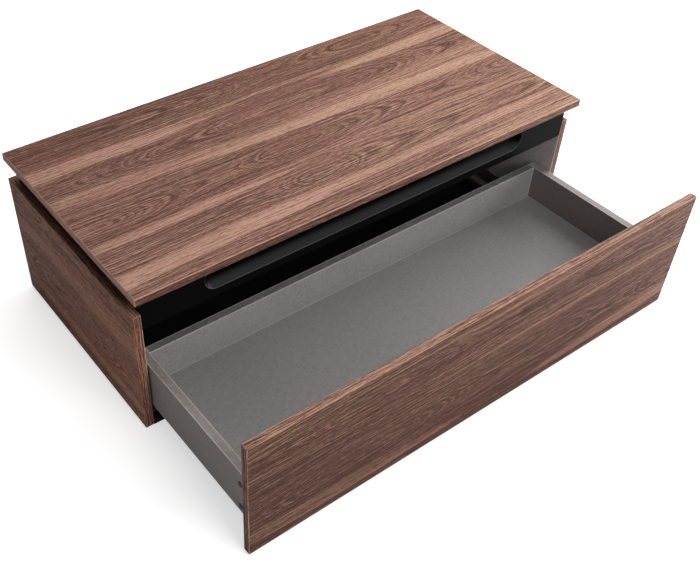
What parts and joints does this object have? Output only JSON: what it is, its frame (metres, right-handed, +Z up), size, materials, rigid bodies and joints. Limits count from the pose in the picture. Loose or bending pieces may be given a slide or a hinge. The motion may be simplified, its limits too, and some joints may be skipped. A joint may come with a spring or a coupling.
{
  "type": "lift top coffee table",
  "caption": "Low rectangular coffee table whose top lifts up and forward on steel arms over a hidden compartment, with one wide handle-less drawer below.",
  "frame": {"origin": "on the floor, in the middle of the cabinet's footprint, at the underside of the middle glide", "axes": "+X to the right along the table's length, -Y the way the drawer opens and the top moves forward, +Z up"},
  "size_m": [1.2, 0.922, 0.383],
  "materials": {
    "walnut_veneer": "satin matt walnut veneer with eased edges, grain along each board",
    "black_board": "satin black painted board",
    "grey_laminate": "matt grey laminate on board, fine cloth-like texture",
    "zinc_steel": "zinc plated steel",
    "spring_steel": "oiled spring steel",
    "black_steel": "satin black powder coat",
    "black_plastic": "matt moulded plastic",
    "grey_plastic": "matt moulded plastic",
    "rubber": "soft rubber",
    "beech": "plain fluted dowel wood"
  },
  "bodies": {
    "cabinet": {"side_panel_left": "walnut_veneer", "side_panel_right": "walnut_veneer", "back_panel": "walnut_veneer", "bottom_panel": "black_board", "front_rail": "black_board", "rear_rail": "black_board", "compartment_side_left": "black_board", "compartment_side_right": "black_board", "compartment_floor": "black_board", "glides": "black_plastic", "cam_fasteners": "zinc_steel", "cam_bolts": "zinc_steel", "dowels": "beech", "frame_screws": "zinc_steel", "top_bumpers": "rubber", "runner_rail_left": "zinc_steel", "runner_rail_right": "zinc_steel", "runner_screws": "zinc_steel", "lift_base_left": "black_steel", "lift_base_right": "black_steel", "lift_base_screws": "zinc_steel", "base_pivot_pins": "zinc_steel", "lift_springs": "spring_steel"},
    "front_arms": {"front_arm_left": "black_steel", "front_arm_right": "black_steel", "cross_tube": "black_steel"},
    "rear_arms": {"rear_arm_left": "black_steel", "rear_arm_right": "black_steel", "rear_arm_pins": "zinc_steel"},
    "top": {"top_panel": "walnut_veneer", "top_bracket_left": "black_steel", "top_bracket_right": "black_steel", "bracket_pins": "zinc_steel", "top_screws": "zinc_steel"},
    "runner_slides": {"runner_slide_left": "zinc_steel", "runner_slide_right": "zinc_steel", "runner_end_caps": "black_plastic"},
    "drawer": {"drawer_front": "walnut_veneer", "drawer_side_left": "grey_laminate", "drawer_side_right": "grey_laminate", "drawer_back": "grey_laminate", "drawer_bottom": "grey_laminate", "runner_carrier_left": "zinc_steel", "runner_carrier_right": "zinc_steel", "drawer_clips": "black_plastic", "cam_covers": "grey_plastic", "drawer_screws": "zinc_steel"}
  },
  "joints": [
    {"name": "lift", "type": "hinge", "parent": "cabinet", "child": "front_arms", "pos_m": [0, -0.185, 0.311], "axis": [1, 0, 0], "range_deg": [0, 106]},
    {"name": "rear_lift", "type": "hinge", "parent": "cabinet", "child": "rear_arms", "pos_m": [0, -0.095, 0.311], "axis": [1, 0, 0], "range_deg": [0, 106]},
    {"name": "top_level", "type": "hinge", "parent": "front_arms", "child": "top", "pos_m": [0, 0.05368, 0.33609], "axis": [1, 0, 0], "range_deg": [-106, 0]},
    {"name": "drawer_slide", "type": "slide", "parent": "cabinet", "child": "drawer", "axis": [0, -1, 0], "range_m": [-0.353, 0.022]},
    {"name": "runner_slide", "type": "slide", "parent": "cabinet", "child": "runner_slides", "axis": [0, -1, 0], "range_m": [-0.1765, 0.011]}
  ],
  "couplings": [
    {"joint": "rear_lift", "follows": "lift", "ratio": 1},
    {"joint": "top_level", "follows": "lift", "ratio": -1},
    {"joint": "runner_slide", "follows": "drawer_slide", "ratio": 0.5}
  ]
}
